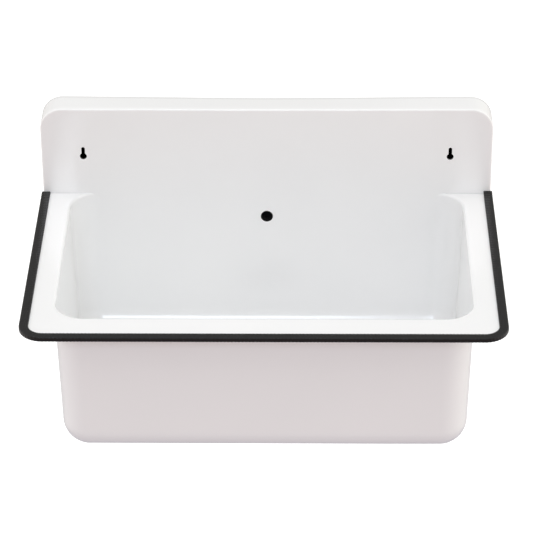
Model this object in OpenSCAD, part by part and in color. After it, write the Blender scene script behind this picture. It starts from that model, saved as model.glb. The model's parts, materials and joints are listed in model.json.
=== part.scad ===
// Wall-hung bucket sink: enamelled steel bowl and splashback, edge trim,
// waste fitting with a lift-out plug, and a piped overflow.
// X is to the right, the wall is the plane Y = 0 and the front looks towards -Y.
// The origin is on the wall, in the middle of the rear edge of the splashback's top return.

/* [Splashback] */
// Width of the splashback and of the bowl's rim, bare steel
steel_w = 505.6; // [450:0.2:600]
// Height of the splashback above the rim
splash_h = 106.4; // [90:0.2:160]
// Depth of the splashback's returns, which stand its face off the wall
return_d = 32.3; // [32:0.1:45]
// Outer radius of the splashback's two top corners
splash_corner_r = 25; // [12:1:40]
// Outer radius of the fold between the splashback's face and its returns
fold_r = 2; // [1.9:0.1:6]
// How far the splashback's face reaches below the rim, to its weld with the bowl
weld_drop = 8; // [6:0.5:12]

/* [Sheet] */
// Thickness of the enamelled sheet
sheet_t = 1.6; // [1.2:0.1:1.8]

/* [Hanging holes] */
// Distance between the two keyholes
keyhole_spacing = 411.6; // [300:0.2:430]
// Height of the keyholes' round ends above the rim
keyhole_h = 47.1; // [25:0.1:70]
// Radius of a keyhole's round end
keyhole_r = 3.9; // [3.2:0.1:5]
// Width of a keyhole's slot
slot_w = 4; // [3:0.1:5]
// Distance from the round end's centre to the slot's end centre
slot_rise = 9.6; // [6:0.2:14]

/* [Rim] */
// Depth of the rim, from the splashback's face to its bare front edge
rim_d = 306; // [290:1:340]
// Plan radius of the rim's two front corners
rim_corner_r = 24; // [15:1:40]
// Radius of the roll from the rim down into the bowl
roll_r = 2.6; // [2.2:0.1:6]

/* [Bowl] */
// How far the weld with the splashback runs round the bowl's rear corners, in degrees
weld_turn = 11; // [9:0.5:14]
// From the steel's side edge to the bowl's inner wall, at the height of the weld
rim_side = 32.4; // [24:0.2:44]
// From the steel's front edge to the bowl's inner wall, at that height
rim_front = 40; // [30:1:60]
// Depth of the floor below the rim
bowl_h = 172.6; // [150:0.2:200]
// Plan radius of the bowl's corners at that height
bowl_corner_r = 32; // [32:1:45]
// Taper of the bowl's walls, in degrees
taper = 1.5; // [1:0.1:2]
// Inner radius between the walls and the floor
floor_r = 27.4; // [18:0.2:27.4]

/* [Drain recess] */
// Distance of the drain's centre in front of the splashback's face
drain_d = 133; // [125:1:140]
// Radius of the dished part of the floor
dish_r = 82; // [60:1:84]
// Fall of the dished floor towards the recess
dish_fall = 2; // [1:0.5:4]
// Radius of the recess that the strainer flange lies in
recess_r = 37.5; // [37:0.5:42]
// Depth of the recess
recess_h = 3.5; // [3:0.1:5]
// Run of the recess's sloping side
recess_run = 3.5; // [2:0.5:6]
// Radius of the drain hole
drain_hole_r = 26; // [26:0.2:28]

/* [Overflow hole] */
// Radius of the overflow hole
overflow_r = 6.9; // [5:0.1:7.2]
// Depth of the overflow hole's centre below the rim
overflow_drop = 29.8; // [28:0.2:45]

/* [Edge trim] */
// Width of the trim, seen from above
trim_w = 9.4; // [8:0.1:12]
// Thickness of the trim's two lips
trim_lip = 1.8; // [1.6:0.1:3]
// Thickness of the trim's back, outside the sheet's edge
trim_back = 1.9; // [1.6:0.1:3]
// Radius of the trim's outer edges
trim_edge_r = 1.7; // [0.8:0.1:1.7]
// Thickness of the steel strip inside the trim
core_t = 0.4; // [0.3:0.1:0.6]
// Plastic between the steel strip and the groove
core_cover = 0.7; // [0.5:0.1:0.8]

/* [Strainer flange] */
// Radius of the strainer flange
flange_r = 35; // [34:0.5:36.5]
// Thickness of the strainer flange's plate
flange_t = 2; // [1.5:0.1:3]
// Outer radius of the flange's throat at its top
throat_r = 24.7; // [24:0.1:25.2]
// How much the throat narrows from its top to its foot
throat_taper = 1.8; // [1:0.1:3]
// Depth of the throat, from the flange's top to the strainer plate
throat_h = 12; // [11:0.2:16]
// Wall of the throat and thickness of the strainer plate
throat_t = 1.2; // [1:0.1:1.8]
// Number of holes in the strainer plate
strainer_n = 10; // [6:1:12]
// Radius of each strainer hole
strainer_r = 3.3; // [2:0.1:3.6]
// Radius of the circle that the strainer holes lie on
strainer_circle_r = 15.6; // [14:0.1:16.5]

/* [Waste body] */
// Thickness of the flat seal under the strainer flange
upper_seal_t = 1.5; // [1:0.1:2]
// How far that seal stays inside the flange's edge
upper_seal_inset = 2; // [1:0.5:4]
// Thickness of the seal under the bowl
lower_seal_t = 3; // [2:0.1:4]
// Outer radius of the waste body's top plate
plate_r = 34; // [32:0.5:38]
// Thickness of the waste body's top plate
plate_t = 3.5; // [3:0.1:5]
// Outer radius of the waste body
body_r = 28; // [27.8:0.1:31]
// Height of the waste body below its top plate
body_h = 32; // [31.5:0.5:40]
// Outer radius of the threaded outlet
outlet_r = 23.9; // [22:0.1:24.5]
// Length of the threaded outlet
outlet_h = 16; // [12:0.5:24]
// Bore radius of the outlet
outlet_bore_r = 20; // [18:0.1:20.5]
// Radius of the middle of the cross, which holds the threaded insert
hub_r = 8; // [7:0.1:9]
// Height of the cross
hub_h = 7; // [6:0.1:8]
// Gap between the strainer plate and the cross
hub_gap = 3; // [2:0.5:4]
// Width of the cross's arms
arm_w = 3.2; // [2.5:0.1:5]
// Number of its arms
arm_n = 4; // [3:1:5]
// Width of the shoulder in the waste body's bore that the arms bear up against
shoulder_w = 0.8; // [0.5:0.1:1.2]

/* [Centre screw] */
// Radius of the screw's shank
screw_r = 3; // [2.5:0.1:3.5]
// Radius of the screw's head
screw_head_r = 5.6; // [5:0.1:7]
// Height of the screw's head
screw_head_h = 2.6; // [2:0.1:3]
// Width and depth of the slot across the screw's head
screw_slot = 1.2; // [0.8:0.1:1.6]
// How far the screw's tip passes the threaded insert
screw_tip = 1; // [0.5:0.5:3]
// Outer radius of the threaded insert
insert_r = 5; // [4.6:0.1:5.8]

/* [Overflow fitting] */
// Thickness of the gasket behind the overflow hole
gasket_t = 2; // [1.5:0.1:2.2]
// Thickness of the elbow's flange
lug_t = 3; // [2.5:0.1:3.2]
// Radius of the middle of the elbow's flange
lug_mid_r = 13; // [12.5:0.1:15]
// Radius of each of its two lugs
lug_r = 7; // [6:0.1:8]
// Distance of each stud from the hole's centre
stud_x = 19; // [18.5:0.1:24]
// Radius of a stud
stud_r = 2.5; // [2:0.1:3]
// Length of a stud from the bowl's wall
stud_l = 13; // [12.5:0.1:16]
// Radius of the washers on the studs
washer_r = 5; // [4.6:0.1:5.5]
// Thickness of the washers
washer_t = 1; // [0.6:0.1:1.4]
// Radius of the nuts over their corners
nut_r = 4.6; // [4.4:0.1:5]
// Height of the nuts
nut_h = 4; // [3:0.1:5]
// Outer radius of the pipe sockets
socket_r = 10.5; // [10.2:0.1:10.6]
// Bore radius of the water way
bore_r = 6.7; // [5:0.1:7]
// How far the elbow's rounded corner stands proud of its socket
knuckle = 0.8; // [0.4:0.1:1.2]
// Length of the elbow's socket below its corner
socket_l = 22; // [20:0.5:28]
// Length of the waste body's socket beyond the body
stub_l = 12; // [11:0.5:14]
// Height of that socket's underside above the waste body's foot
stub_rise = 1; // [0.5:0.5:2]
// Outer radius of the overflow pipe
pipe_r = 8; // [7.8:0.1:8.4]
// Radius of the pipe's bend
pipe_bend_r = 24; // [18:0.5:28]
// How deep the pipe sits in each socket
pipe_seat = 9; // [6:0.5:10]

/* [Slip nuts] */
// Outer radius of a slip nut
slip_r = 13; // [12.6:0.1:13.4]
// Length of a slip nut
slip_l = 13; // [12:0.5:16]
// Thickness of a slip nut's end wall
slip_end = 2; // [1.5:0.1:3]
// Length of the seal ring in a slip nut
slip_seal = 2; // [1.5:0.1:3]
// Number of grip ribs round a slip nut
grip_n = 12; // [8:1:16]
// Radius of each grip rib
grip_r = 0.9; // [0.6:0.1:1]

/* [Plug] */
// Height of the rubber stopper
stopper_h = 8.5; // [7:0.1:8.8]
// Radius of the hollow under the stopper
stopper_hollow_r = 13; // [10:0.1:16]
// Depth of that hollow
stopper_hollow_h = 4; // [3.6:0.1:4.4]
// Radius of the stainless washer under the eye
cap_r = 9; // [7:0.5:12]
// Thickness of that washer
cap_t = 0.8; // [0.5:0.1:1.5]
// Radius of the eye's shank through washer and stopper
eye_shank_r = 1.8; // [1.5:0.1:2.5]
// Outer radius of the eye
eye_r = 3.6; // [3.4:0.1:4.2]
// Width of the eye
eye_w = 3; // [2.5:0.1:3.5]
// Radius of the eye's hole
eye_hole_r = 1.6; // [1.6:0.05:1.8]
// Height of the eye's hole above the washer
eye_h = 1.9; // [1.9:0.1:2.4]
// Radius of the shank's riveted head
rivet_r = 4; // [3:0.1:5]
// Height of that head
rivet_h = 1.6; // [1:0.1:2]
// Radius of the pull ring at its wire's centre
ring_r = 11.5; // [9:0.1:12.4]
// Radius of the pull ring's wire
ring_wire_r = 1.2; // [0.8:0.1:1.2]

/* [Clearances] */
// Gap round a part that turns, slides or drops into another by hand
fit_gap = 0.3; // [0.2:0.05:0.4]
// Gap between threads, drawn as plain cylinders
thread_gap = 0.1; // [0.05:0.05:0.15]

/* [Hidden] */
$fn = 72;

// Colours, as seen
enamel = [0.94, 0.94, 0.93];
trim_black = [0.16, 0.16, 0.17];
steel_grey = [0.72, 0.73, 0.75];
rubber_black = [0.09, 0.09, 0.10];
plastic_black = [0.13, 0.13, 0.14];
brass_yellow = [0.80, 0.65, 0.32];

// A small length that carries a cut past a face, or a joint into its neighbour
over = 1;

// Steps along the arcs of the roll and of the bowl's foot
roll_n = 6;
foot_n = 10;

// Places: the rim's top face, the splashback's face and the centre of the drain
rim_z = sheet_t / 2 - splash_h;
face_y = -return_d;
drain_y = face_y - drain_d;

// The bowl: its corner axes, the taper as a slope, and the centres of the foot's and the roll's arcs;
// the foot's radius is limited by the room that the tapered corners leave
axis_x = steel_w / 2 - rim_side - bowl_corner_r;
axis_rear_y = face_y - bowl_corner_r;
axis_front_y = face_y - rim_d + rim_front + bowl_corner_r;
weld_half = axis_x + bowl_corner_r * sin(weld_turn);
slope = tan(taper);
foot_room = bowl_corner_r - (bowl_h - weld_drop) * slope - over / 2;
foot_r = min(floor_r, foot_room / (1 / cos(taper) - slope));
foot_z = foot_r - bowl_h;
foot_x = wall_off(foot_z) - foot_r / cos(taper);
roll_top_z = -roll_r * (1 - sin(taper));
roll_x = wall_off(roll_top_z) + roll_r * cos(taper);
rim_in = roll_x + over / 2;

// The drain: the recess's floor and what is stacked on and under it
seat_z = rim_z - bowl_h - dish_fall - recess_h;
flange_z = seat_z + upper_seal_t + flange_t;
plate_z = flange_z - throat_h;
body_top_z = seat_z - sheet_t - lower_seal_t;
body_foot_z = body_top_z - plate_t - body_h;
outlet_z = body_foot_z - outlet_h;
outlet_disc_t = socket_r - bore_r;
shell_z = body_foot_z + outlet_disc_t;
stub_z = body_foot_z + socket_r + stub_rise;
hub_z = plate_z - throat_t - hub_gap;
body_bore_r = throat_r + fit_gap;
cross_r = body_bore_r + shoulder_w;
throat_foot_r = throat_r - throat_taper;
flange_lip_r = throat_r - throat_t;
cap_z = flange_z + fit_gap;
ring_drop = asin((cap_t + eye_h - ring_wire_r - fit_gap) / (2 * ring_r));

// The overflow: where the hole meets the back of the bowl, and the pipe's two axes
hole_z = rim_z - overflow_drop;
hole_y = face_y + (weld_drop - overflow_drop) * slope;
lug_face = sheet_t + gasket_t + lug_t;
elbow_off = lug_face + socket_r;
elbow_y = hole_y + elbow_off * cos(taper);
elbow_z = hole_z - elbow_off * sin(taper);
elbow_mouth_z = elbow_z - socket_l;
stub_mouth_y = drain_y + body_r + stub_l;

// The trim's groove, measured from the rim's corner axes
core_off = core_cover + core_t;
trim_in = rim_corner_r + trim_back - trim_w;
trim_out = rim_corner_r + trim_back;
rim_axis_x = steel_w / 2 - rim_corner_r;
rim_axis_y = face_y - rim_d + rim_corner_r;

// Distance of the bowl's inner wall from its corner axes, at a height from the rim
function wall_off(z) = bowl_corner_r + (z + weld_drop) * slope;

// Moves what is drawn with the rim's top face at zero to its place
module at_rim() {
    translate([0, 0, rim_z]) children();
}

// Moves what is drawn on the drain's axis to its place
module at_drain() {
    translate([0, drain_y, 0]) children();
}

// Sets a piece on the slanted back of the bowl round the overflow hole,
// with its own +Z pointing out of the wall, straight towards the room's wall
module at_hole() {
    translate([0, hole_y, hole_z]) rotate([-90 - taper, 0, 0]) children();
}

// A flat ring that stands on z
module ring(z, h, r_out, r_in) {
    difference() {
        translate([0, 0, z]) cylinder(r = r_out, h = h);
        translate([0, 0, z - over]) cylinder(r = r_in, h = h + 2 * over);
    }
}

// Rectangle with four round corners, centred on x and given by its y limits
module round_rect(half, y0, y1, r) {
    translate([-half + r, y0]) square([2 * (half - r), y1 - y0]);
    translate([-half, y0 + r]) square([2 * half, y1 - y0 - 2 * r]);
    for (x = [-half + r, half - r], y = [y0 + r, y1 - r]) {
        translate([x, y]) circle(r = r);
    }
}

// Points along an arc about c, from angle a to angle b in n steps
function arc(c, r, a, b, n) = [for (i = [0 : n]) let (k = a + (b - a) * i / n) c + r * [cos(k), sin(k)]];

// Half section of the pressed sheet, out from a corner axis: rim, roll, wall, foot and floor
module sheet_half() {
    roll = [roll_x, -roll_r];
    foot = [foot_x, foot_z];
    polygon(concat(
        [[roll_x + over, -sheet_t], [roll_x + over, 0]],
        arc(roll, roll_r, 90, 180 - taper, roll_n),
        arc(foot, foot_r, -taper, -90, foot_n),
        [[0, -bowl_h], [0, -bowl_h - sheet_t]],
        arc(foot, foot_r + sheet_t, -90, -taper, foot_n),
        arc(roll, roll_r - sheet_t, 180 - taper, 90, roll_n)));
}

// The bowl as four turned corners and four straight runs, without its floor's middle
module bowl_walls() {
    for (side = [0, 1]) mirror([side, 0, 0]) {
        translate([axis_x, axis_rear_y, 0]) rotate_extrude(angle = 90) sheet_half();
        translate([axis_x, axis_front_y, 0]) rotate([0, 0, -90])
            rotate_extrude(angle = 90) sheet_half();
        translate([axis_x, axis_rear_y, 0]) rotate([90, 0, 0])
            linear_extrude(height = axis_rear_y - axis_front_y) sheet_half();
    }
    translate([-axis_x, axis_rear_y, 0]) rotate([90, 0, 90])
        linear_extrude(height = 2 * axis_x) sheet_half();
    translate([axis_x, axis_front_y, 0]) rotate([90, 0, -90])
        linear_extrude(height = 2 * axis_x) sheet_half();
}

// The flat rim outside the roll, from where the section ends
module rim_plate() {
    translate([0, 0, -sheet_t]) linear_extrude(height = sheet_t) difference() {
        union() {
            round_rect(steel_w / 2, face_y - rim_d, face_y - rim_corner_r, rim_corner_r);
            translate([-steel_w / 2, face_y - 2 * rim_corner_r - over])
                square([steel_w, 2 * rim_corner_r + over]);
        }
        round_rect(axis_x + rim_in, axis_front_y - rim_in, axis_rear_y + rim_in, rim_in);
    }
}

// The floor between the corner axes, with the dish and the recess pressed into it
module bowl_floor() {
    dish_edge_r = recess_r + recess_run;
    low = -dish_fall - recess_h;
    difference() {
        translate([-axis_x, axis_front_y, -bowl_h - sheet_t])
            cube([2 * axis_x, axis_rear_y - axis_front_y, sheet_t]);
        translate([0, drain_y, -bowl_h - sheet_t - over]) cylinder(r = dish_r, h = sheet_t + 2 * over);
    }
    translate([0, drain_y, -bowl_h]) rotate_extrude()
        polygon([[dish_r, 0], [dish_edge_r, -dish_fall], [recess_r, low], [drain_hole_r, low],
                 [drain_hole_r, low - sheet_t], [recess_r, low - sheet_t],
                 [dish_edge_r, -dish_fall - sheet_t], [dish_r, -sheet_t]]);
}

module basin() {
    color(enamel) difference() {
        at_rim() difference() {
            union() {
                bowl_walls();
                rim_plate();
                bowl_floor();
            }
            translate([-steel_w, face_y, -weld_drop]) cube([2 * steel_w, steel_w, 2 * weld_drop]);
            translate([-weld_half, face_y - 2 * sheet_t, -weld_drop])
                cube([2 * weld_half, steel_w, 2 * weld_drop]);
        }
        at_hole() translate([0, 0, -sheet_t]) cylinder(r = overflow_r, h = 3 * sheet_t);
    }
}

// Section of the splashback's fold: x is outwards from the corner axis, y is back from the face
module fold_half() {
    r = splash_corner_r;
    difference() {
        union() {
            square([r - fold_r, sheet_t]);
            translate([r - sheet_t, fold_r]) square([sheet_t, return_d - fold_r]);
            translate([r - fold_r, fold_r]) intersection() {
                circle(r = fold_r);
                translate([0, -fold_r]) square([fold_r, fold_r]);
            }
        }
        translate([r - fold_r, fold_r]) circle(r = fold_r - sheet_t);
    }
}

// The splashback's straight sides and top, and its two turned corners
module splash_folds() {
    x = steel_w / 2 - splash_corner_r;
    z = splash_h - splash_corner_r;
    for (side = [0, 1]) mirror([side, 0, 0]) {
        translate([x, face_y, z]) rotate([-90, 0, 0]) rotate([0, 0, -90])
            rotate_extrude(angle = 90) fold_half();
        translate([x, face_y, -weld_drop]) linear_extrude(height = z + weld_drop) fold_half();
    }
    translate([-x, face_y, z]) rotate([90, 0, 90]) linear_extrude(height = 2 * x) mirror([1, 0])
        rotate([0, 0, 90]) fold_half();
    translate([-x, face_y, -weld_drop]) cube([2 * x, sheet_t, z + weld_drop]);
}

module keyhole() {
    rotate([-90, 0, 0]) translate([0, 0, -over]) {
        cylinder(r = keyhole_r, h = sheet_t + 2 * over);
        translate([0, -slot_rise, 0]) cylinder(r = slot_w / 2, h = sheet_t + 2 * over);
        translate([-slot_w / 2, -slot_rise, 0]) cube([slot_w, slot_rise, sheet_t + 2 * over]);
    }
}

module splashback() {
    color(enamel) at_rim() difference() {
        splash_folds();
        for (x = [-1, 1]) translate([x * keyhole_spacing / 2, face_y, keyhole_h]) keyhole();
    }
}

// Carries a section, out from the rim's corner axes, along the rim's three free edges
module along_rim() {
    for (side = [0, 1]) mirror([side, 0, 0]) {
        translate([rim_axis_x, face_y, 0]) rotate([90, 0, 0])
            linear_extrude(height = face_y - rim_axis_y) children();
        translate([rim_axis_x, rim_axis_y, 0]) rotate([0, 0, -90])
            rotate_extrude(angle = 90) children();
    }
    translate([rim_axis_x, rim_axis_y, 0]) rotate([90, 0, -90])
        linear_extrude(height = 2 * rim_axis_x) children();
}

// The steel strip in section: a channel round the groove, with plastic on both its sides
module core_section() {
    lip_in = trim_in + core_cover;
    difference() {
        translate([lip_in, -sheet_t - core_off])
            square([rim_corner_r + core_off - lip_in, sheet_t + 2 * core_off]);
        translate([lip_in - over, -sheet_t - core_cover])
            square([rim_corner_r + core_cover - lip_in + over, sheet_t + 2 * core_cover]);
    }
}

module trim_section() {
    low = -sheet_t - trim_lip;
    high = trim_lip;
    r = trim_edge_r;
    difference() {
        union() {
            translate([trim_in + r, low]) square([trim_w - 2 * r, high - low]);
            translate([trim_in, low + r]) square([trim_w, high - low - 2 * r]);
            for (x = [trim_in + r, trim_out - r], y = [low + r, high - r]) {
                translate([x, y]) circle(r = r);
            }
        }
        translate([trim_in - over, -sheet_t]) square([rim_corner_r - trim_in + over, sheet_t]);
        core_section();
    }
}

module rim_trim() {
    color(trim_black) at_rim() along_rim() trim_section();
}

module trim_core() {
    color(steel_grey) at_rim() along_rim() core_section();
}

module drain_flange() {
    edge_r = flange_t / 2;
    color(steel_grey) at_drain() difference() {
        union() {
            translate([0, 0, flange_z - flange_t]) rotate_extrude() difference() {
                union() {
                    square([flange_r - edge_r, flange_t]);
                    translate([flange_r - edge_r, edge_r]) circle(r = edge_r);
                }
                square([throat_foot_r - throat_t, flange_t]);
            }
            translate([0, 0, flange_z]) rotate_extrude()
                polygon([[0, -throat_h], [throat_foot_r - throat_t, -throat_h],
                         [flange_lip_r, 0], [throat_r, -flange_t],
                         [throat_foot_r, -throat_h - throat_t], [0, -throat_h - throat_t]]);
        }
        translate([0, 0, flange_z]) rotate_extrude()
            polygon([[0, over], [flange_lip_r + over * throat_taper / throat_h, over],
                     [throat_foot_r - throat_t, -throat_h], [0, -throat_h]]);
        translate([0, 0, plate_z - throat_t - over]) {
            cylinder(r = screw_r + thread_gap, h = throat_t + 2 * over);
            for (i = [0 : strainer_n - 1]) rotate([0, 0, i * 360 / strainer_n])
                translate([strainer_circle_r, 0, 0]) cylinder(r = strainer_r, h = throat_t + 2 * over);
        }
    }
}

module drain_upper_seal() {
    color(rubber_black) at_drain()
        ring(seat_z, upper_seal_t, flange_r - upper_seal_inset, throat_r + fit_gap);
}

module drain_lower_seal() {
    color(rubber_black) at_drain() ring(body_top_z, lower_seal_t, plate_r, throat_r + fit_gap);
}

// The water way of a socket along +Z, wider at its mouth where the pipe sits
module socket_bore(l) {
    translate([0, 0, -over]) cylinder(r = bore_r, h = l + 2 * over);
    translate([0, 0, l - pipe_seat]) cylinder(r = pipe_r + fit_gap, h = pipe_seat + over);
}

// The waste body's cup with its side socket; its foot is the outlet's disc
module drain_body() {
    color(plastic_black) at_drain() difference() {
        union() {
            translate([0, 0, body_top_z - plate_t]) cylinder(r = plate_r, h = plate_t);
            translate([0, 0, shell_z]) cylinder(r = body_r, h = body_h - outlet_disc_t + over);
            translate([0, 0, stub_z]) rotate([-90, 0, 0])
                cylinder(r = socket_r, h = body_r + stub_l);
        }
        translate([0, 0, hub_z - over]) cylinder(r = body_bore_r, h = body_top_z - hub_z + 2 * over);
        translate([0, 0, shell_z - over]) cylinder(r = cross_r, h = hub_z - shell_z + over);
        translate([0, 0, body_foot_z - over])
            cylinder(r = body_r + thread_gap, h = outlet_disc_t + over);
        translate([0, outlet_bore_r, stub_z]) rotate([-90, 0, 0])
            socket_bore(body_r + stub_l - outlet_bore_r);
    }
}

// The cross that holds the threaded insert, pushed in from below before the outlet goes on;
// none of its arms stands before the side socket
module drain_cross() {
    color(plastic_black) at_drain() translate([0, 0, hub_z - hub_h]) difference() {
        intersection() {
            union() {
                cylinder(r = hub_r, h = hub_h);
                for (i = [0 : arm_n - 1]) rotate([0, 0, 90 + (i + 0.5) * 360 / arm_n])
                    translate([0, -arm_w / 2, 0]) cube([cross_r + over, arm_w, hub_h]);
            }
            cylinder(r = cross_r, h = hub_h);
        }
        translate([0, 0, -over]) cylinder(r = insert_r, h = hub_h + 2 * over);
    }
}

// The threaded outlet, with the disc that closes the waste body's foot
module drain_outlet() {
    color(plastic_black) at_drain() difference() {
        union() {
            translate([0, 0, body_foot_z]) cylinder(r = body_r, h = outlet_disc_t);
            translate([0, 0, outlet_z]) cylinder(r = outlet_r, h = outlet_h + over);
        }
        translate([0, 0, outlet_z - over])
            cylinder(r = outlet_bore_r, h = outlet_h + outlet_disc_t + 2 * over);
    }
}

module drain_insert() {
    color(brass_yellow) at_drain() ring(hub_z - hub_h, hub_h, insert_r, screw_r + thread_gap);
}

module drain_screw() {
    tip_z = hub_z - hub_h - screw_tip;
    slot_z = plate_z + screw_head_h - screw_slot;
    color(steel_grey) at_drain() difference() {
        union() {
            translate([0, 0, plate_z]) cylinder(r = screw_head_r, h = screw_head_h);
            translate([0, 0, tip_z]) cylinder(r = screw_r, h = plate_z - tip_z + over);
        }
        translate([-screw_head_r, -screw_slot / 2, slot_z])
            cube([2 * screw_head_r, screw_slot, screw_slot + over]);
    }
}

// Radius of the throat's inside at a height above the strainer plate
function throat_in(h) = throat_foot_r - throat_t + (flange_lip_r - throat_foot_r + throat_t) * h / throat_h;

module plug_stopper() {
    top = cap_z;
    foot = cap_z - stopper_h;
    color(rubber_black) at_drain() difference() {
        rotate_extrude() polygon([[0, top], [throat_in(throat_h) - fit_gap, top],
                                  [throat_in(foot - plate_z) - fit_gap, foot], [0, foot]]);
        translate([0, 0, foot - over]) cylinder(r = stopper_hollow_r, h = stopper_hollow_h + over);
        translate([0, 0, foot]) cylinder(r = eye_shank_r + thread_gap, h = stopper_h + over);
    }
}

module plug_cap() {
    edge_r = cap_t / 2;
    color(steel_grey) at_drain() translate([0, 0, cap_z]) rotate_extrude() difference() {
        union() {
            square([cap_r - edge_r, cap_t]);
            translate([cap_r - edge_r, edge_r]) circle(r = edge_r);
        }
        square([eye_shank_r + thread_gap, cap_t]);
    }
}

module plug_eye() {
    base_z = cap_z + cap_t;
    head_z = cap_z - stopper_h + stopper_hollow_h - rivet_h;
    color(steel_grey) at_drain() {
        difference() {
            union() {
                translate([-eye_w / 2, 0, base_z + eye_h]) rotate([0, 90, 0])
                    cylinder(r = eye_r, h = eye_w);
                translate([-eye_w / 2, -eye_r, base_z]) cube([eye_w, 2 * eye_r, eye_h]);
            }
            translate([-eye_w, 0, base_z + eye_h]) rotate([0, 90, 0])
                cylinder(r = eye_hole_r, h = 2 * eye_w);
            translate([-2 * eye_r, -2 * eye_r, base_z - 2 * eye_r])
                cube([4 * eye_r, 4 * eye_r, 2 * eye_r]);
        }
        translate([0, 0, head_z]) cylinder(r = eye_shank_r, h = base_z - head_z);
        translate([0, 0, head_z]) cylinder(r = rivet_r, h = rivet_h);
    }
}

module plug_ring() {
    color(steel_grey) at_drain() translate([0, 0, cap_z + cap_t + eye_h]) rotate([-ring_drop, 0, 0])
        translate([0, ring_r, 0]) rotate_extrude() translate([ring_r, 0]) circle(r = ring_wire_r);
}

// Outline of the elbow's flange and its gasket, with the holes that both share
module lug_outline() {
    difference() {
        union() {
            circle(r = lug_mid_r);
            for (x = [-1, 1]) translate([x * stud_x, 0]) circle(r = lug_r);
            translate([-stud_x, -lug_r]) square([2 * stud_x, 2 * lug_r]);
        }
        circle(r = bore_r);
        for (x = [-1, 1]) translate([x * stud_x, 0]) circle(r = stud_r + fit_gap);
    }
}

module overflow_gasket() {
    color(rubber_black) at_hole() translate([0, 0, sheet_t])
        linear_extrude(height = gasket_t) lug_outline();
}

module overflow_elbow() {
    lug_z = sheet_t + gasket_t;
    color(plastic_black) difference() {
        union() {
            at_hole() translate([0, 0, lug_z]) linear_extrude(height = lug_t) lug_outline();
            at_hole() translate([0, 0, lug_z]) cylinder(r = socket_r, h = elbow_off - lug_z);
            translate([0, elbow_y, elbow_z]) sphere(r = socket_r + knuckle);
            translate([0, elbow_y, elbow_mouth_z]) cylinder(r = socket_r, h = socket_l);
        }
        at_hole() cylinder(r = bore_r, h = elbow_off);
        translate([0, elbow_y, elbow_z]) sphere(r = bore_r + knuckle / 2);
        translate([0, elbow_y, elbow_z]) rotate([180, 0, 0]) socket_bore(socket_l);
        at_hole() translate([0, 0, -lug_z]) cylinder(r = 2 * lug_mid_r, h = 2 * lug_z);
    }
}

// Repeats a piece at both studs of the overflow fitting, at a height above the wall's inside
module at_studs(z) {
    at_hole() for (x = [-1, 1]) translate([x * stud_x, 0, z]) children();
}

module overflow_studs() {
    color(steel_grey) at_studs(sheet_t) cylinder(r = stud_r, h = stud_l);
}

module overflow_washers() {
    color(steel_grey) at_studs(lug_face) ring(0, washer_t, washer_r, stud_r + thread_gap);
}

module overflow_nuts() {
    color(steel_grey) at_studs(lug_face + washer_t) difference() {
        cylinder(r = nut_r, h = nut_h, $fn = 6);
        translate([0, 0, -over]) cylinder(r = stud_r + thread_gap, h = nut_h + 2 * over);
    }
}

module overflow_pipe() {
    top_z = elbow_mouth_z + pipe_seat;
    bend_z = stub_z + pipe_bend_r;
    bend_y = elbow_y - pipe_bend_r;
    end_y = stub_mouth_y - pipe_seat;
    color(plastic_black) {
        translate([0, elbow_y, 0]) ring(bend_z, top_z - bend_z, pipe_r, bore_r);
        translate([0, bend_y, bend_z]) rotate([90, 0, 90]) rotate([0, 0, -90])
            rotate_extrude(angle = 90) translate([pipe_bend_r, 0]) difference() {
                circle(r = pipe_r);
                circle(r = bore_r);
            }
        translate([0, 0, stub_z]) rotate([-90, 0, 0]) ring(end_y, bend_y - end_y, pipe_r, bore_r);
    }
}

// A slip nut along +Z, with the socket's mouth at zero and its end wall beyond
module slip_nut() {
    end_z = slip_seal + slip_end;
    difference() {
        union() {
            translate([0, 0, end_z - slip_l]) cylinder(r = slip_r - grip_r, h = slip_l);
            for (i = [0 : grip_n - 1]) rotate([0, 0, i * 360 / grip_n])
                translate([slip_r - grip_r, 0, end_z - slip_l]) cylinder(r = grip_r, h = slip_l);
        }
        translate([0, 0, end_z - slip_l - over])
            cylinder(r = socket_r + thread_gap, h = slip_l - slip_end + over);
        translate([0, 0, -slip_l]) cylinder(r = pipe_r + fit_gap, h = 2 * slip_l);
    }
}

module at_upper_mouth() {
    translate([0, elbow_y, elbow_mouth_z]) rotate([180, 0, 0]) children();
}

module at_lower_mouth() {
    translate([0, stub_mouth_y, stub_z]) rotate([-90, 0, 0]) children();
}

module pipe_seal() {
    ring(0, slip_seal, socket_r, pipe_r);
}

module upper_slip_nut() {
    color(plastic_black) at_upper_mouth() slip_nut();
}

module upper_pipe_seal() {
    color(rubber_black) at_upper_mouth() pipe_seal();
}

module lower_slip_nut() {
    color(plastic_black) at_lower_mouth() slip_nut();
}

module lower_pipe_seal() {
    color(rubber_black) at_lower_mouth() pipe_seal();
}

basin();
splashback();
rim_trim();
trim_core();
drain_flange();
drain_upper_seal();
drain_lower_seal();
drain_body();
drain_cross();
drain_outlet();
drain_insert();
drain_screw();
plug_stopper();
plug_cap();
plug_eye();
plug_ring();
overflow_gasket();
overflow_elbow();
overflow_studs();
overflow_washers();
overflow_nuts();
overflow_pipe();
upper_slip_nut();
upper_pipe_seal();
lower_slip_nut();
lower_pipe_seal();
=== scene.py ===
import json
import math
import bmesh
import bpy
from mathutils import Matrix, Vector, noise


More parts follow.
